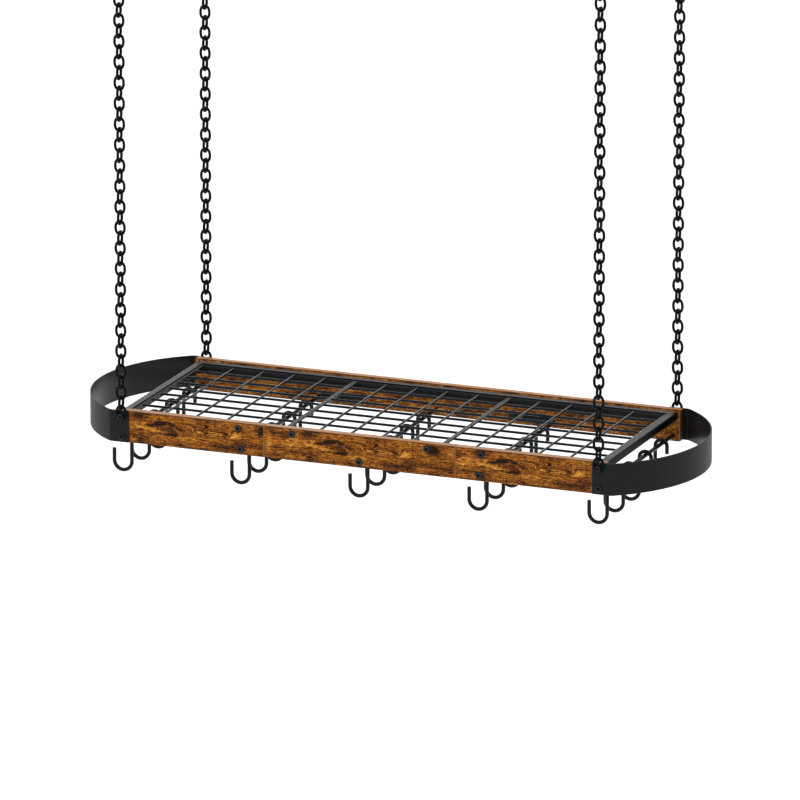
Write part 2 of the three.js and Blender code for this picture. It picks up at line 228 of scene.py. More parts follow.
class Nodes:
    """Short names for building a material's node tree."""

    def __init__(self, name, roughness=0.5, metallic=0.0, specular=0.5):
        self.material = bpy.data.materials.new(name)
        self.material.use_nodes = True
        self.tree = self.material.node_tree
        self.shader = self.tree.nodes["Principled BSDF"]
        self.shader.inputs["Roughness"].default_value = roughness
        self.shader.inputs["Metallic"].default_value = metallic
        self.shader.inputs["Specular IOR Level"].default_value = specular

    def add(self, kind, settings=(), **inputs):
        node = self.tree.nodes.new(kind)
        for key, value in dict(settings).items():
            setattr(node, key, value)
        for key, value in inputs.items():
            self.set(node, key.replace("_", " "), value)
        return node

    def set(self, node, key, value):
        """Links or sets an input, by its name or as i and its number."""
        socket = node.inputs[int(key[1:])] if key[0] == "i" and key[1:].isdigit() else node.inputs[key]
        if isinstance(value, bpy.types.NodeSocket):
            self.tree.links.new(value, socket)
        else:
            socket.default_value = value

    def math(self, operation, a, b=0.0, c=None):
        node = self.add("ShaderNodeMath", {"operation": operation}, i0=a, i1=b)
        if c is not None:
            self.set(node, "i2", c)
        return node.outputs[0]

    def ramp(self, factor, stops):
        node = self.add("ShaderNodeValToRGB", Fac=factor)
        elements = node.color_ramp.elements
        while len(elements) < len(stops):
            elements.new(0.5)
        for element, (at, colour) in zip(elements, stops):
            element.position = at
            element.color = (*colour, 1)
        return node.outputs[0]

    def noise(self, vector, scale, detail=4.0, roughness=0.55, distortion=0.0):
        node = self.add(
            "ShaderNodeTexNoise",
            Vector=vector,
            Scale=scale,
            Detail=detail,
            Roughness=roughness,
            Distortion=distortion,
        )
        return node.outputs[0]

    def stretch(self, vector, scale, offset=(0, 0, 0)):
        node = self.add("ShaderNodeMapping", Vector=vector, Scale=scale, Location=offset)
        return node.outputs[0]

    def spread(self, value, low, high, to_low=0.0, to_high=1.0):
        """Eases a value between two limits to the range from to_low to to_high."""
        node = self.add("ShaderNodeMapRange", {"interpolation_type": "SMOOTHSTEP"})
        for i, number in enumerate((value, low, high, to_low, to_high)):
            self.set(node, f"i{i}", number)
        return node.outputs[0]

    def vector(self, operation, a, b):
        return self.add("ShaderNodeVectorMath", {"operation": operation}, i0=a, i1=b).outputs[0]

    def mark(self, p, x, z, reach_x, reach_z, tilt):
        """A soft oval on a board's outer face: 1 at its middle, 0 beyond its reach."""
        shifted = self.vector("SUBTRACT", p, (x, 0, z))
        angle = math.radians(tilt)
        turned = self.add("ShaderNodeVectorRotate", {"rotation_type": "Y_AXIS"}, Vector=shifted, Angle=angle)
        scaled = self.vector("MULTIPLY", turned.outputs[0], (1 / reach_x, 1 / MARK_DEPTH, 1 / reach_z))
        size = self.add("ShaderNodeVectorMath", {"operation": "LENGTH"}, i0=scaled).outputs["Value"]
        return self.spread(size, 1.4, 0.3)

    def object_mm(self):
        """Object coordinates in mm."""
        coordinates = self.add("ShaderNodeTexCoord").outputs["Object"]
        return self.stretch(coordinates, (1000, 1000, 1000))

    def finish(self, colour=None, roughness=None, height=None, bump=0.2, distance=0.0001):
        if colour is not None:
            self.set(self.shader, "Base Color", colour)
        if roughness is not None:
            self.set(self.shader, "Roughness", roughness)
        if height is not None:
            node = self.add("ShaderNodeBump", Height=height, Strength=bump, Distance=distance)
            self.set(self.shader, "Normal", node.outputs[0])
        return self.material


def coated_steel(name, dark, light, roughness, specular, grain=0.55, bump=0.25, tint=(1, 1, 1)):
    """Satin powder coat: a fine orange-peel, with slow changes of tone and gloss.
    Grain is the orange-peel's scale, and tint the colour of its reflections."""
    n = Nodes(name, roughness, 0.0, specular)
    p = n.object_mm()
    tone = n.noise(p, 0.03, 3.0)
    fleck = n.noise(p, 1.6, 2.0)
    shade = n.math("ADD", n.math("MULTIPLY", tone, 0.35), n.math("MULTIPLY", fleck, 0.65))
    colour = n.ramp(n.spread(shade, 0.35, 0.65), [(0, dark), (1, light)])
    gloss = n.spread(n.noise(p, 0.08, 4.0), 0.3, 0.7, roughness - 0.015, roughness + 0.02)
    n.shader.inputs["Specular Tint"].default_value = (*tint, 1)
    height = n.math("ADD", n.noise(p, grain, 2.0), n.math("MULTIPLY", n.noise(p, grain * 3.1, 2.0), 0.4))
    return n.finish(colour, gloss, height, bump, 0.00008)


# Marks of the boards' print: place along the print and above the board's lower edge,
# reach both ways, tilt in degrees and strength; dark ones are negative
MARKS = [
    (20, 41, 10, 2.5, 0, -0.5),
    (33, 37, 7, 9, 0, -0.35),
    (70, 44, 13, 4.5, 0, -0.7),
    (107, 35.5, 10, 3.2, 5, -1.5),
    (110, 32, 24, 9, -8, -0.4),
    (87, 30.5, 13, 1.8, 10, -0.9),
    (121, 37.5, 5, 2.4, -20, -1.1),
    (134, 32, 14, 2.4, -22, -0.95),
    (128, 20, 10, 5.5, 0, -1.3),
    (114.5, 6, 1.8, 4, 0, -1.1),
    (141, 4.5, 2.5, 2.2, 0, -0.7),
    (46, 22, 5, 2.0, 0, -0.45),
    (47, 25, 17, 9, 0, 0.5),
    (214, 28.5, 6, 2.4, 0, -0.9),
    (276, 40, 12, 7, 0, -1.1),
    (205, 9, 22, 5, -3, -0.45),
    (238, 7, 13, 4, 0, -0.45),
    (300, 12, 14, 5, 0, -0.3),
    (76, 29, 15, 5, 5, 0.75),
    (62, 6, 9, 5, 0, 0.6),
    (95, 24, 12, 4, 0, 0.5),
    (8, 26, 6, 16, 0, 0.4),
    (182, 28, 26, 4, 0, 0.5),
    (230, 28, 13, 4.5, 0, 0.75),
    (152, 12, 9, 3, 0, 0.3),
]
HEART_X, HEART_Z, HEART_LENGTH, HEART_HEIGHT = 193, 28.5, 80, 9


def rustic_wood(name):
    """Printed rustic boards: golden brown with streaks along the grain and dark knots.
    The grain attribute holds each point's place in the boards' print in mm."""
    n = Nodes(name, 0.5, 0.0, 0.06)

    def add_tone(tone, value, share, lift=0.0):
        return n.math("ADD", tone, n.math("MULTIPLY_ADD", value, share, lift))

    def sway(scale, detail, reach):
        noise = n.noise(n.stretch(p, scale), 1.0, detail)
        return n.math("MULTIPLY", n.math("SUBTRACT", noise, 0.5), reach)

    p = n.add("ShaderNodeAttribute", {"attribute_name": "grain"}).outputs["Vector"]
    # The marks' outlines are ragged
    coarse = n.stretch(p, (0.12, 0.3, 0.3))
    blur = n.add("ShaderNodeTexNoise", Vector=coarse, Scale=1.0, Detail=5.0, Roughness=0.7)
    offset = n.vector("MULTIPLY", n.vector("SUBTRACT", blur.outputs["Color"], (0.5, 0.5, 0.5)), (20, 0, 10))
    ragged = n.vector("ADD", p, offset)
    # Slow bends of the grain, which closes in long ovals round a flat-sawn heart
    bend = sway((0.009, 0.03, 0.02), 2.0, 14)
    ripple = sway((0.05, 0.1, 0.10), 3.0, 3.5)
    rippled = n.vector("ADD", p, n.add("ShaderNodeCombineXYZ", Z=ripple).outputs[0])
    from_heart = n.vector("SUBTRACT", rippled, (HEART_X, 0, HEART_Z))
    reach = n.vector("MULTIPLY", from_heart, (1 / HEART_LENGTH, 1 / MARK_DEPTH, 1 / HEART_HEIGHT))
    core = n.add("ShaderNodeVectorMath", {"operation": "LENGTH"}, i0=reach).outputs["Value"]
    heart = n.mark(p, HEART_X + 2, HEART_Z, 36, 9, 0)
    place_in_print = n.add("ShaderNodeSeparateXYZ", Vector=rippled).outputs
    straight = n.math("ADD", place_in_print["Z"], bend)
    ovals = n.math("MULTIPLY_ADD", core, HEART_HEIGHT, 40)
    flow_z = n.math("MULTIPLY_ADD", n.math("SUBTRACT", ovals, straight), heart, straight)
    flow = n.add("ShaderNodeCombineXYZ", X=place_in_print["X"], Y=place_in_print["Y"], Z=flow_z).outputs[0]
    # Tone from noises stretched along the grain, with painted light that makes the inner faces a little
    # lighter
    streak = n.noise(n.stretch(flow, (0.014, 0.2, 0.36)), 1.0, 6.0, 0.68, 0.2)
    fine = n.noise(n.stretch(flow, (0.10, 0.5, 0.56)), 1.0, 5.0, 0.7, 0.15)
    fleck = n.noise(n.stretch(p, (0.15, 0.3, 0.34), (1.7, 0, 4.2)), 1.0, 4.0, 0.65, 0.3)
    cloud = n.noise(n.stretch(ragged, (0.020, 0.04, 0.045), (3.1, 0, 7.7)), 1.0, 5.0, 0.6, 0.4)
    tone = n.math("MULTIPLY_ADD", streak, 0.95, PLAIN_TONE - 0.95 / 2)
    # Painted light: the inner faces, in the rack's own shade, are lifted a little
    inner = n.add("ShaderNodeSeparateXYZ", Vector=p).outputs["Y"]
    tone = n.math("ADD", tone, n.spread(inner, 4, 9, 0.0, 0.06))
    for noise, share in ((cloud, 0.8), (fleck, 0.5), (fine, 0.85)):
        tone = add_tone(tone, noise, share, -share / 2)
    patches = n.noise(n.stretch(flow, (0.06, 0.2, 0.35), (5, 0, 1)), 1.0, 4.0, 0.6)
    mottle = n.spread(patches, 0.30, 0.60, 0.55, 1.2)
    for x, z, reach_x, reach_z, tilt, strength in MARKS:
        mark = n.math("MULTIPLY", n.mark(ragged, x, z, reach_x, reach_z, tilt), MARK_SHADE * strength)
        tone = n.math("ADD", tone, n.math("MULTIPLY", mark, mottle))
    # Thin dark lines round the heart
    rings = n.math("SINE", n.math("MULTIPLY_ADD", core, 15, n.math("MULTIPLY", streak, 4.0)))
    rings = n.math("MULTIPLY", n.spread(rings, 0.25, 0.9), n.mark(p, HEART_X, HEART_Z, 32, 9, 0))
    tone = add_tone(tone, n.math("MULTIPLY", rings, mottle), -0.40)
    # Darker towards the lower edge and along both arrises
    height = n.add("ShaderNodeSeparateXYZ", Vector=ragged).outputs["Z"]
    arris = n.math("ADD", n.spread(height, RAIL_HEIGHT - 2.5, RAIL_HEIGHT), n.spread(height, 2, 0))
    tone = add_tone(tone, arris, -0.12)
    tone = n.math("ADD", tone, n.spread(height, 8, 42, -0.02, 0.035))
    # Pores as short thin dark dashes, a fine speckle of the print, and long dark lines
    pore = n.spread(n.noise(n.stretch(flow, (0.10, 0.5, 0.95), (9, 0, 2)), 1.0, 2.0, 0.5), 0.54, 0.66)
    speckle = n.noise(n.stretch(p, (0.55, 0.8, 0.85)), 1.0, 2.0, 0.6)
    long_streak = n.noise(n.stretch(flow, (0.020, 0.4, 0.85), (0, 0, 5.0)), 1.0, 2.0, 0.5, 0.15)
    line = n.spread(long_streak, 0.55, 0.63)
    tone = add_tone(tone, pore, -0.30, 0.05)
    tone = add_tone(tone, speckle, 1.15, -0.575)
    tone = add_tone(tone, line, -0.21)
    colour = n.ramp(
        tone,
        [
            (0.16, (0.012, 0.006, 0.003)),
            (0.27, (0.036, 0.014, 0.004)),
            (0.36, (0.100, 0.030, 0.005)),
            (0.45, (0.175, 0.050, 0.006)),
            (0.53, (0.245, 0.075, 0.008)),
            (0.62, (0.340, 0.118, 0.013)),
            (0.72, (0.480, 0.200, 0.026)),
            (0.84, (0.640, 0.330, 0.060)),
        ],
    )
    gloss = n.spread(fine, 0.3, 0.7, 0.42, 0.58)
    return n.finish(colour, gloss, n.math("ADD", streak, n.math("MULTIPLY", fine, 0.6)), 0.15, 0.0002)


def board_edge(name, stops):
    """The plain banding along the boards' top, bottom and ends, or a line where it meets the faces."""
    n = Nodes(name, 0.5, 0.0, 0.1)
    p = n.add("ShaderNodeAttribute", {"attribute_name": "grain"}).outputs["Vector"]
    streak = n.noise(n.stretch(p, (0.03, 0.8, 0.8)), 1.0, 6.0, 0.6, 0.8)
    return n.finish(n.ramp(streak, stops), None, streak, 0.1, 0.0001)


band_steel = coated_steel("band_coat", (0.0085, 0.0085, 0.0088), (0.0105, 0.0105, 0.0108), 0.46, 0.098)
# Painted light: the bands' inner faces get a glossier copy of the band's coat, with a darker base, so that
# they look lighter
inner_band_lit_steel = coated_steel(
    "band_inside_painted_light", (0.0065, 0.0065, 0.0068), (0.0085, 0.0085, 0.0088), 0.29, 0.19, bump=0.015
)
tube_steel = coated_steel("tube_coat", (0.0095, 0.0097, 0.0103), (0.0125, 0.0128, 0.0136), 0.30, 0.045)
# Painted light: a lighter copy of the tube's coat for the end bars' tops
tube_top_lit_steel = coated_steel("tube_top_painted_light", (0.015, 0.0152, 0.016), (0.023, 0.0233, 0.0245), 0.38, 0.06)
# Painted shade: a near-black copy of the tube's coat for the bars' chamfers and the end bars' outer ends
tube_shaded_steel = coated_steel(
    "tube_side_painted_shade", (0.0016, 0.0017, 0.0019), (0.0026, 0.0027, 0.003), 0.36, 0.02
)
# Painted light: a still lighter copy of the tube's coat for the long bars' tops
long_top_lit_steel = coated_steel(
    "long_tube_top_painted_light", (0.062, 0.064, 0.068), (0.080, 0.082, 0.088), 0.38, 0.065, tint=(0.8, 0.9, 1.0)
)
# Painted light and shade: the cross and the lengthwise wires are one wire, with a copy of its coat for each
# direction, tuned to how light falls on it; the lengthwise ones get bluish painted reflections
cross_wire_painted_steel = coated_steel(
    "cross_wire_painted_light_and_shade", (0.002, 0.002, 0.0022), (0.0035, 0.0035, 0.0038), 0.2, 0.10, 1.2
)
long_wire_painted_steel = coated_steel(
    "wire_painted_light_and_shade", (0.0012, 0.0018, 0.003), (0.0022, 0.0032, 0.005), 0.22, 0.12, 1.2, tint=(0.6, 0.82, 1.0)
)
rod_steel = coated_steel("rod_coat", (0.004, 0.004, 0.0042), (0.0065, 0.0065, 0.0068), 0.22, 0.13, 0.9)
hook_steel = coated_steel("hook_coat", (0.0055, 0.0055, 0.0058), (0.008, 0.008, 0.0083), 0.28, 0.12, 0.9)
chain_steel = coated_steel("chain_coat", (0.0022, 0.0022, 0.0024), (0.0042, 0.0042, 0.0045), 0.36, 0.06, 1.0)
screw_steel = coated_steel("screw_coat", (0.015, 0.0175, 0.021), (0.023, 0.027, 0.032), 0.30, 0.14, 1.4)
tab_screw_steel = coated_steel(
    "tab_screw_coat", (0.008, 0.0083, 0.009), (0.014, 0.0145, 0.0155), 0.34, 0.12, 1.4
)
# Painted shade: near black for the screws' sockets, and painted shadow on their rims
screw_shade_steel = coated_steel("screw_painted_shade", (0.0008, 0.0008, 0.001), (0.0014, 0.0014, 0.0016), 0.6, 0.02, 1.4)
wood_face = rustic_wood("rustic_wood")
wood_edge = board_edge(
    "wood_edge", [(0.3, (0.11, 0.036, 0.012)), (0.48, (0.32, 0.140, 0.052)), (0.7, (0.50, 0.25, 0.100))]
)
wood_arris = board_edge(
    "wood_arris", [(0.35, (0.012, 0.006, 0.003)), (0.5, (0.05, 0.02, 0.008)), (0.65, (0.16, 0.065, 0.025))]
)
# The boards' ends: their own brown banding, darkened further with painted shade
wood_end = board_edge(
    "wood_end", [(0.3, (0.015, 0.006, 0.003)), (0.5, (0.05, 0.019, 0.008)), (0.7, (0.12, 0.045, 0.016))]
)
wood_end_arris = board_edge(
    "wood_end_arris", [(0.3, (0.12, 0.050, 0.020)), (0.5, (0.215, 0.104, 0.045)), (0.7, (0.31, 0.165, 0.075))]
)


# ---- Wooden boards ----

WOODS = [wood_face, wood_edge, wood_arris, wood_end, wood_end_arris]


def add_board(name, x0, x1, face, print_start, node):
    """One board; face is -1 at the front and 1 at the back, and print_start is where its print begins."""
    bm = bmesh.new()
    bmesh.ops.create_cube(bm, size=1)
    outer, inner = face * DEPTH / 2, face * RAIL_INNER
    for v in bm.verts:
        v.co = Vector(
            (
                x0 if v.co.x < 0 else x1,
                min(outer, inner) if v.co.y < 0 else max(outer, inner),
                0 if v.co.z < 0 else RAIL_HEIGHT,
            )
        )
    bmesh.ops.bevel(bm, geom=bm.edges[:], offset=BOARD_BEVEL, segments=2, affect="EDGES", profile=0.6)
    mesh = bpy.data.meshes.new(name)
    bm.to_mesh(mesh)
    bm.free()
    grain = mesh.attributes.new("grain", "FLOAT_VECTOR", "POINT")
    for i, v in enumerate(mesh.vertices):
        x, y, z = v.co
        grain.data[i].vector = (x - x0 + print_start, abs(y - outer), z)
        v.co = place(x, y, z)
    for wood in WOODS:
        mesh.materials.append(wood)
    for polygon in mesh.polygons:
        polygon.use_smooth = True
        across, _, up = (abs(part) for part in polygon.normal)
        wood = wood_face
        if across > 0.1:
            wood = wood_end if across > FLAT else wood_end_arris
        elif up > 0.1:
            wood = wood_edge if up > FLAT else wood_arris
        polygon.material_index = WOODS.index(wood)
    mesh.set_sharp_from_angle(angle=math.radians(30))
    obj = bpy.data.objects.new(name, mesh)
    bpy.context.scene.collection.objects.link(obj)
    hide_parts(node)
    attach(obj, "rack")


joint = RAIL_LENGTH / 2 - END_BOARD  # of the boards, from the rack's middle
for label, face in FACES:
    for part, x0, x1, print_start in (
        ("left", -RAIL_LENGTH / 2, -joint - SLIVER, 34),
        ("middle", -joint + SLIVER, joint - SLIVER, 0),
        ("right", joint + SLIVER, RAIL_LENGTH / 2, 31),
    ):
        add_board(f"board_{label}_{part}", x0, x1, face, print_start, f"rail_board_{label}_{part}")

# ---- End bands ----


def add_band(name, side, node):
    """A tab over each rail's end, a bend, and one arc between them, at the end on the given side."""
    tab = DEPTH / 2 + BAND
    radius = (tab**2 + ARC_DEPTH**2) / (2 * ARC_DEPTH)
    bend = RAIL_LENGTH / 2 + TAB_PAST
    centre = bend + ARC_DEPTH - radius
    middle = radius - BAND / 2
    reach = math.degrees(math.asin((tab - BAND / 2) / middle))
    arc_points = [Vector(p) for p in arc((centre, 0), middle, -reach, reach, 120)]

    def half_bend(corner, next_point):
        """The tab's last point and one that rounds the corner."""
        last = corner - Vector((BEND_REACH, 0))
        return [last, corner * 0.72 + next_point * 0.16 + last * 0.12]

    tab_ends = [RAIL_LENGTH / 2 - TAB_OVER, RAIL_LENGTH / 2 - 2]
    path = [Vector((x, -tab + BAND / 2)) for x in tab_ends]
    path += half_bend(arc_points[0], arc_points[1])
    path += arc_points[1:-1]
    path += reversed(half_bend(arc_points[-1], arc_points[-2]))
    path += [Vector((x, tab - BAND / 2)) for x in reversed(tab_ends)]
    if side < 0:
        path = [Vector((-p.x, -p.y)) for p in path]
    half = BAND / 2 - SLIVER
    section = rounded_rect(-half, 0, half, RAIL_HEIGHT, 0.45, 2)
    steels = [band_steel, inner_band_lit_steel]
    band = Form().strip(path, section).piece(name, "rack", "band_steel", steels, [node], 12)
    # Faces turned in towards the arc's centre take the inner faces' painted light
    for polygon in band.data.polygons:
        inward = Vector((centre * side, 0, 0)) - polygon.center * 1000
        if polygon.normal.dot(Vector((inward.x, inward.y, 0)).normalized()) > 0.6:
            polygon.material_index = steels.index(inner_band_lit_steel)


add_band("band_left", -1, "end_band_left")
add_band("band_right", 1, "end_band_right")

# ---- Wire shelf ----

shelf_end = RAIL_LENGTH / 2 - SHELF_INSET
bar_outer = RAIL_INNER - GAP / 2
bar_inner = bar_outer - BAR
bar_middle = bar_outer - BAR / 2
border_x = shelf_end - BAR - CROSS_WIRE / 2
cell = 2 * border_x / 15  # five cells in each of the three panels
panel_joint = 2.5 * cell
cross_z = SHELF_TOP - CROSS_DROP
long_z = SHELF_TOP - LONG_DROP
SHELF_STEELS = [tube_steel, long_wire_painted_steel, tube_top_lit_steel, cross_wire_painted_steel, tube_shaded_steel, long_top_lit_steel]


def add_panel(name, x0, x1, left_bar, right_bar, node):
    """A panel from x0 to x1, with the square tube's end bar at its left, its right or neither."""
    form = Form()
    section = rounded_rect(-BAR / 2, SHELF_TOP - BAR, BAR / 2, SHELF_TOP, BAR_CHAMFER, 1)
    a, b = (x0 + BAR / 2 if left_bar else x0), (x1 - BAR / 2 if right_bar else x1)
    front, back = -bar_middle, bar_middle
    if left_bar:
        form.strip([Vector(p) for p in ((b, back), (a, back), (a, front), (b, front))], section)
    elif right_bar:
        form.strip([Vector(p) for p in ((a, front), (b, front), (b, back), (a, back))], section)
    else:
        form.strip([Vector((a, front)), Vector((b, front))], section)
        form.strip([Vector((a, back)), Vector((b, back))], section)
    wire_from = x0 + BAR if left_bar else x0
    wire_to = x1 - BAR if right_bar else x1
    border_y = bar_inner - LONG_WIRE / 2
    for y in [WIRE_ROW * k for k in range(-3, 4)] + [-border_y, border_y]:
        # The border wires take the tube's coat, the other lengthwise wires their copy with painted light and
        # shade
        tag = SHELF_STEELS.index(tube_steel if abs(y) == border_y else long_wire_painted_steel)
        form.tube([(wire_from, y, long_z), (wire_to, y, long_z)], LONG_WIRE / 2, (0, 0, 1), tag=tag)
    first = wire_from + CROSS_WIRE / 2
    last = wire_to - CROSS_WIRE / 2
    start = first if left_bar else x0
    # The cross wires take their own copy with painted light and shade
    tag = SHELF_STEELS.index(cross_wire_painted_steel)
    for x in [start + cell * k for k in range(1, 5)] + [first, last]:
        form.tube([(x, -bar_inner, cross_z), (x, bar_inner, cross_z)], CROSS_WIRE / 2, (0, 0, 1), tag=tag)
    panel = form.piece(name, "rack", "shelf_steel", SHELF_STEELS, [node])
    # The bars' tops get painted light, lighter still on the long bars. Their chamfers and the end bars' outer
    # ends get painted shade
    for polygon in panel.data.polygons:
        if polygon.material_index:
            continue
        x, y, z = polygon.center * 1000
        steel = tube_steel
        # Painted light on the tops
        if polygon.normal.z > FLAT:
            steel = long_top_lit_steel if abs(y) > bar_inner and abs(x) < border_x else tube_top_lit_steel
        # Painted shade on the chamfers and on the end bars' outer ends
        elif polygon.normal.z > 0.3 and z - BASE > SHELF_TOP - 1:
            steel = tube_shaded_steel
        elif polygon.normal.x * x > 0.85 * shelf_end:
            steel = tube_shaded_steel
        polygon.material_index = SHELF_STEELS.index(steel)


middle_end, side_start = panel_joint - HALF_PANEL_GAP, panel_joint + HALF_PANEL_GAP
add_panel("shelf_left", -shelf_end, -side_start, True, False, "shelf_panel_left")
add_panel("shelf_middle", -middle_end, middle_end, False, False, "shelf_panel_middle")
add_panel("shelf_right", side_start, shelf_end, False, True, "shelf_panel_right")

# ---- Rods, plates and screws ----

for i, x in enumerate(ROD_X):
    form = Form()
    reach = RAIL_INNER - SLIVER
    form.tube([(x, -reach, ROD_Z), (x, reach, ROD_Z)], ROD / 2, (0, 0, 1), sides=24, chamfer=0.4)
    form.piece(f"rod_{i + 1}", "rack", "hook_steel", [rod_steel], [f"hook_rod_{i + 1}"])

for name, side, face in CORNERS:
    form = Form()
    x = side * joint
    z0, z1 = PLATE_Z - PLATE_HEIGHT / 2, PLATE_Z + PLATE_HEIGHT / 2
    y = face * (RAIL_INNER - PLATE / 2 - SLIVER)
    section = rounded_rect(-PLATE / 2, z0, PLATE / 2, z1, 0.3, 2)
    form.strip([Vector((x - PLATE_REACH, y)), Vector((x + PLATE_REACH, y))], section)
    form.piece(f"plate_{name}", "rack", "band_steel", [band_steel], [f"joining_plate_{name}"])


def screw_head(form, x, y, z, face, size=SCREW_HEAD, height=SCREW_HEAD_HEIGHT):
    """Button head with a six-sided socket. Its underside is at y, and it faces -Y where face is -1."""
    r, h = size / 2, height
    # The rim and the socket take the near-black material: painted shadow round the rim, painted shade in the
    # socket
    dark = 1  # the number of the rim's and the socket's material
    at, axis, sides = (x, y, z), (0, face, 0), 36
    form.turned([(r - 0.5, 0), (r - 0.05, 0.25), (r, 0.7), (r * 0.93, h * 0.5)], at, axis, sides, tag=dark)
    profile = [(r * 0.93, h * 0.5), (r * 0.9, h * 0.62), (r * 0.72, h * 0.88), (r * 0.55, h)]
    dome = len(profile)
    form.turned(profile + [(r * 0.44, h), (r * 0.42, h * 0.9)], at, axis, sides, (dome, dome + 1))
    socket = [(r * 0.425, h * 0.902), (r * 0.40, h * 0.35), (0.01, h * 0.3)]
    form.turned(socket, at, axis, sides, (0, 1), tag=dark)


for label, face in FACES:
    form = Form()
    for x in UPPER_SCREW_X:
        screw_head(form, x, face * DEPTH / 2, SCREW_Z, face)
    for x in LOWER_SCREW_X:
        screw_head(form, x, face * DEPTH / 2, ROD_Z, face)
    form.piece(f"screws_{label}", "rack", "bolt_steel", [screw_steel, screw_shade_steel])
    form = Form()
    for x in (-BOLT_X, BOLT_X):
        screw_head(form, x, face * (DEPTH / 2 + BAND), ROD_Z, face)
    form.piece(f"tab_screws_{label}", "rack", "bolt_steel", [tab_screw_steel, screw_shade_steel])

for label, face in FACES:
    form = Form()
    for side in (-1, 1):
        for dx in (-PLATE_SCREW_X, PLATE_SCREW_X):
            at = (side * joint + dx, face * (RAIL_INNER - PLATE), PLATE_Z)
            screw_head(form, *at, -face, PLATE_SCREW_HEAD, PLATE_SCREW_HEIGHT)
    form.piece(f"plate_screws_{label}", "rack", "bolt_steel", [screw_steel, screw_shade_steel])

# ---- S-hooks ----


def hook_path():
    """Centre line of an S-hook, (along the rack, up) from its rod's axis."""
    top = ROD / 2 + 0.1 + HOOK_WIRE  # above the rod's axis
    bottom = top - HOOK_HEIGHT
    crown = top - HOOK_WIRE / 2 - HOOK_TOP_R
    low = bottom + HOOK_WIRE / 2 + HOOK_BOTTOM_R
    path = [(HOOK_TOP_R, top - HOOK_TOP_LEG), (HOOK_TOP_R, (crown + top - HOOK_TOP_LEG) / 2)]
    path += arc((0, crown), HOOK_TOP_R, 0, 180, 24)
    path += [(-HOOK_TOP_R, crown * 0.5 + low * 0.5)]
    path += arc((-HOOK_TOP_R - HOOK_BOTTOM_R, low), HOOK_BOTTOM_R, 0, -180, 30)
    tip = -HOOK_TOP_R - 2 * HOOK_BOTTOM_R
    path += [(tip, (low + bottom + HOOK_BOTTOM_LEG) / 2), (tip, bottom + HOOK_BOTTOM_LEG)]
    return path


for i, x in enumerate(ROD_X):
    for j, y in enumerate(HOOK_Y):
        form = Form()
        path = [(x + a, y, ROD_Z + b) for a, b in hook_path()]
        form.tube(path, HOOK_WIRE / 2, (0, 1, 0), sides=20, chamfer=0.5)
        node = f"s_hook_{i + 1}_{j + 1}"
        form.piece(f"hook_{i + 1}_{j + 1}", node, "hook_steel", [hook_steel], [node])

# ---- Chains ----


def oval(count=44, power=2.25):
    """Centre line of a link's wire, standing on end about (0, 0)."""
    a, b = (LINK_WIDTH - LINK_WIRE) / 2, (LINK_INNER + LINK_WIRE) / 2
    made = []
    for i in range(count):
        t = 2 * math.pi * i / count
        c, s = math.cos(t), math.sin(t)
        across = a * math.copysign(abs(c) ** (2 / power), c)
        along = b * math.copysign(abs(s) ** (2 / power), s)
        made.append((across, along))
    return made


def add_link(form, x, y, z, across):
    """One link centred at a height, its flat side in the XZ plane, or in the YZ plane if across."""
    if across:
        form.tube([(x, y + a, z + b) for a, b in oval()], LINK_WIRE / 2, (1, 0, 0), sides=14, closed=True)
    else:
        form.tube([(x + a, y, z + b) for a, b in oval()], LINK_WIRE / 2, (0, 1, 0), sides=14, closed=True)


def link_height(node):
    """Height of the middle of a link's solid."""
    low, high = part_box(node)
    return (low[2] + high[2]) * 500 - BASE


for name, side, face in CORNERS:
    x, y = side * BOLT_X, face * CHAIN_Y
    low_node, chain_node, high_node = f"bottom_link_{name}", f"chain_{name}", f"top_link_{name}"
    bottom, top = link_height(low_node), link_height(high_node)
    form = Form()
    add_link(form, x, y, bottom, False)
    form.piece(f"low_link_{name}", low_node, "chain_steel", [chain_steel], [low_node])
    form = Form()
    pitch = (top - bottom) / (LINKS - 1)
    for i in range(1, LINKS - 1):
        add_link(form, x, y, bottom + pitch * i, i % 2 == 1)
    form.piece(f"links_{name}", chain_node, "chain_steel", [chain_steel], [chain_node])
    form = Form()
    add_link(form, x, y, top, False)
    form.piece(f"high_link_{name}", high_node, "chain_steel", [chain_steel], [high_node])

    form = Form()
    under = DEPTH / 2 + BAND + LINK + 2 * GAP
    shank = [(x, face * (RAIL_INNER - BOLT_REACH), BOLT_Z), (x, face * (under + 0.2), BOLT_Z)]
    form.tube(shank, BOLT / 2, (0, 0, 1), sides=20)
    screw_head(form, x, face * under, BOLT_Z, face, BOLT_HEAD)
    form.piece(f"bolt_{name}", "rack", "bolt_steel", [tab_screw_steel, screw_shade_steel], [f"chain_bolt_{name}"])

# ---- Ceiling hooks ----

ceiling = -BASE
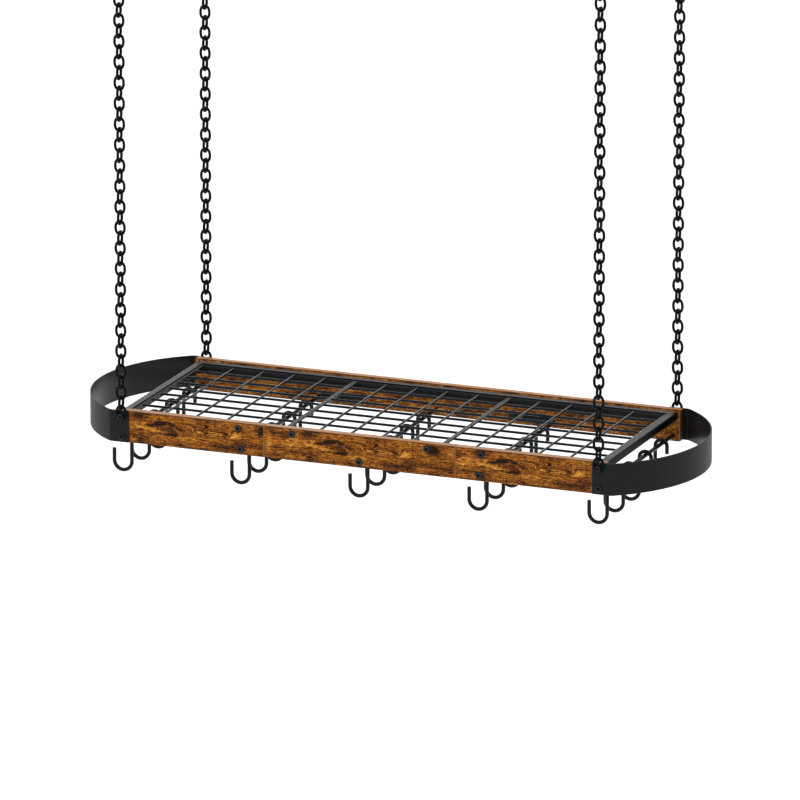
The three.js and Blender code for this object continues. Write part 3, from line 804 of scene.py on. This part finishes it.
# Profiles: (radius, height from the ceiling or from the disc's face)
DISC = [(19.8, 0), (19.8, -1.2), (19.0, -2.3), (17.5, -2.9), (6.5, -3.0), (5.0, -3.6), (3.6, -5.4)]
DISC_SCREW = [(4.2, 0), (4.0, -0.7), (2.8, -1.5), (1.7, -1.8), (1.6, -0.9), (0.01, -0.9)]
for name, side, face in CORNERS:
    x, y = side * BOLT_X, face * CHAIN_Y
    form = Form()
    form.turned([(0.01, -5.4), *reversed(DISC), (0.01, 0)], (x, y, ceiling), (0, 0, 1), 48)
    wire = CEILING_WIRE / 2
    node = f"ceiling_hook_{name}"
    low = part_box(node)[0][2] * 1000 - BASE
    centre = low + wire * 0.97 + CEILING_HOOK_R
    stem = [(0, centre + 15), (0.6, centre + 12.2), (2.6, centre + 10.2), (5.2, centre + 7.6)]
    path = [(0, ceiling - 2), *stem, *arc((0, centre), CEILING_HOOK_R, 40, -195, 36)]
    turn = -face  # the hooks open towards the outside of the rack
    form.tube([(x, y + turn * a, b) for a, b in path], wire, (1, 0, 0), sides=20, chamfer=0.6)
    form.piece(f"{node}_round", "ceiling", "ceiling_steel", [hook_steel], [node])
    form = Form()
    for dx in (-CEILING_SCREW_X, CEILING_SCREW_X):
        form.turned(DISC_SCREW, (x + dx, y, ceiling - 2.9), (0, 0, 1), 28)
    form.piece(f"ceiling_screws_{name}", "ceiling", "ceiling_steel", [screw_steel])

# ---- Stage ----

floor_mesh = bpy.data.meshes.new("floor")
level = (BASE - FLOOR_DROP) * 0.001
reach = FLOOR_REACH * 0.001
corners = [(-reach, -reach, level), (reach, -reach, level), (reach, reach, level), (-reach, reach, level)]
floor_mesh.from_pydata(corners, [], [(0, 1, 2, 3)])
floor_node = Nodes("floor_paint", 0.9, 0.0, 0.1)
floor_mesh.materials.append(floor_node.finish((0.93, 0.93, 0.93, 1)))
floor = bpy.data.objects.new("floor", floor_mesh)
bpy.context.scene.collection.objects.link(floor)

# A white sky, brighter behind the rack
world = bpy.data.worlds.new("studio")
bpy.context.scene.world = world
world.use_nodes = True
sky = world.node_tree
direction = sky.nodes.new("ShaderNodeTexCoord").outputs["Generated"]
facing = sky.nodes.new("ShaderNodeVectorMath")
facing.operation = "DOT_PRODUCT"
sky.links.new(direction, facing.inputs[0])
facing.inputs[1].default_value = Vector((-0.25, 0.9, 0.36)).normalized()
soft = sky.nodes.new("ShaderNodeMapRange")
soft.interpolation_type = "SMOOTHSTEP"
sky.links.new(facing.outputs["Value"], soft.inputs["Value"])
for socket, number in zip(soft.inputs[1:5], (0.5, 1.0, 0.8, 1.5)):
    socket.default_value = number
sky.nodes["Background"].inputs["Color"].default_value = (1, 1, 1, 1)
sky.links.new(soft.outputs[0], sky.nodes["Background"].inputs["Strength"])


def add_sun(name, at, target, energy, angle):
    data = bpy.data.lights.new(name, "SUN")
    data.energy = energy
    data.angle = angle
    obj = bpy.data.objects.new(name, data)
    bpy.context.scene.collection.objects.link(obj)
    obj.location = at
    obj.rotation_mode = "QUATERNION"
    obj.rotation_quaternion = (Vector(target) - Vector(at)).to_track_quat("-Z", "Y")


add_sun("overhead", (0.5, -1.0, 6), (0, 0, 0), 0.9, 0.6)
add_sun("key", (-3.0, -5.0, 4.0), (0, 0, -0.8), 0.8, 0.5)
add_sun("rim", (-4.5, 9.0, 1.0), (0, 0, 0), 0.07, 0.2)

scene = bpy.context.scene
scene.view_settings.view_transform = "Standard"
scene.view_settings.look = "None"

# ---- Camera ----

# Fitted to the photograph: the direction, the distance in mm and the focal length in its pixels
AZIMUTH, ELEVATION = math.radians(21.81), math.radians(15.70)
DISTANCE, FOCAL_PX, FRAME_PX = 18884, 12387, 800
back = Vector(
    (
        math.sin(AZIMUTH) * math.cos(ELEVATION),
        -math.cos(AZIMUTH) * math.cos(ELEVATION),
        math.sin(ELEVATION),
    )
)
right = Vector((math.cos(AZIMUTH), math.sin(AZIMUTH), 0))
up = back.cross(right)
aim = place(0, 0, RAIL_HEIGHT / 2) * 1000
aim_px = (399.4, 424.6)  # where the photograph shows that point
spot = aim + back * DISTANCE
spot -= right * (aim_px[0] - FRAME_PX / 2) / FOCAL_PX * DISTANCE
spot += up * (aim_px[1] - FRAME_PX / 2) / FOCAL_PX * DISTANCE
camera_data = bpy.data.cameras.new("camera")
camera_data.sensor_width = 36
camera_data.lens = FOCAL_PX / FRAME_PX * camera_data.sensor_width
camera_data.clip_end = 200
camera = bpy.data.objects.new("camera", camera_data)
scene.collection.objects.link(camera)
camera.location = spot * 0.001
camera.rotation_mode = "QUATERNION"
camera.rotation_quaternion = (-back).to_track_quat("-Z", "Y")
scene.camera = camera
